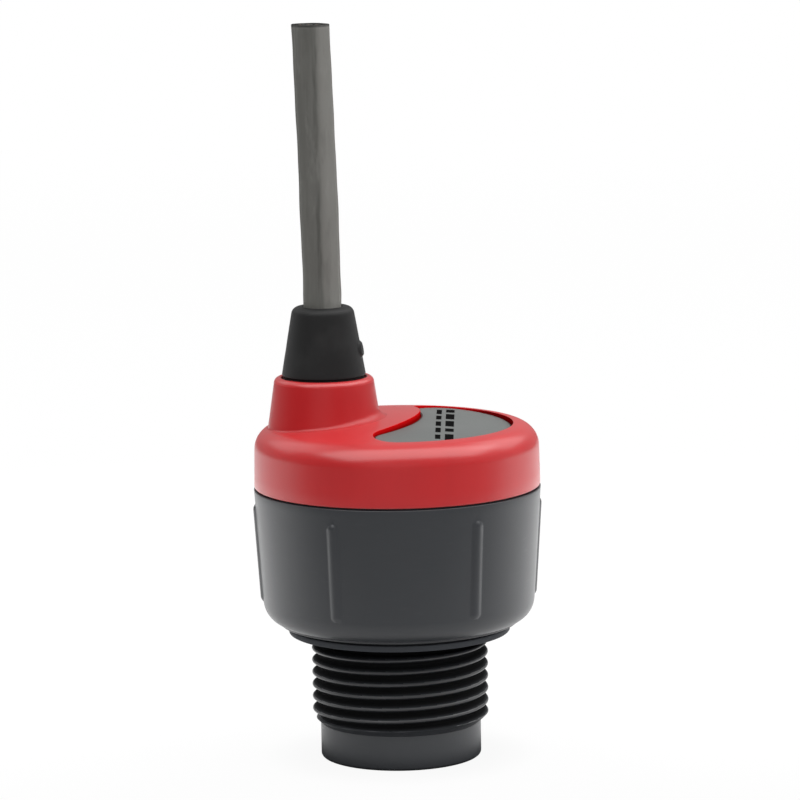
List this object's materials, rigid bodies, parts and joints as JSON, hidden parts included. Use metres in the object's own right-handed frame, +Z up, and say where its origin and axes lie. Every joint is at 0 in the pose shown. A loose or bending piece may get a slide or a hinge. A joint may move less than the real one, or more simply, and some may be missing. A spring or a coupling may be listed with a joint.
{
  "type": "ultrasonic level sensor",
  "caption": "Non-contact ultrasonic level sensor: pipe-threaded neck with a flat radiating nose, ribbed grey housing, red domed cap, and a cable through an off-centre rubber strain relief.",
  "frame": {"origin": "centre of the flat nose face, on the thread's axis", "axes": "+Z up along the thread's axis, from nose to cable; the cable boss lies towards -X"},
  "size_m": [0.0542, 0.0538, 0.138],
  "materials": {
    "housing_plastic": "fine moulded matte",
    "cap_plastic": "satin moulded",
    "label_film": "satin",
    "boot_rubber": "soft matte",
    "cable_jacket": "matte",
    "seal_rubber": "matte",
    "matching_resin": "matte",
    "piezo_ceramic": "matte",
    "sleeve_foam": "matte",
    "backing_resin": "matte",
    "potting_resin": "gloss",
    "lead_wire": "plain",
    "board_laminate": "gloss",
    "screw_steel": "plain",
    "winding_tape": "matte",
    "component_black": "matte",
    "capacitor_sleeve": "satin",
    "crystal_can": "satin",
    "ferrite": "matte",
    "header_plastic": "matte",
    "wire_insulation": "matte",
    "tie_nylon": "matte"
  },
  "bodies": {
    "root": {"housing": "housing_plastic", "cap": "cap_plastic", "label_plate": "label_film", "strain_relief": "boot_rubber", "cable": "cable_jacket", "cap_seal": "seal_rubber", "matching_layer": "matching_resin", "piezo_disc": "piezo_ceramic", "isolation_sleeve": "sleeve_foam", "backing_block": "backing_resin", "potting_plug": "potting_resin", "transducer_leads": "lead_wire", "circuit_board": "board_laminate", "board_screws": "screw_steel", "pulse_transformer": "winding_tape", "output_relays": "component_black", "microcontroller": "component_black", "storage_capacitor": "capacitor_sleeve", "crystal": "crystal_can", "power_inductor": "ferrite", "terminal_header": "header_plastic", "cable_wires": "wire_insulation", "cable_tie": "tie_nylon"}
  },
  "joints": []
}
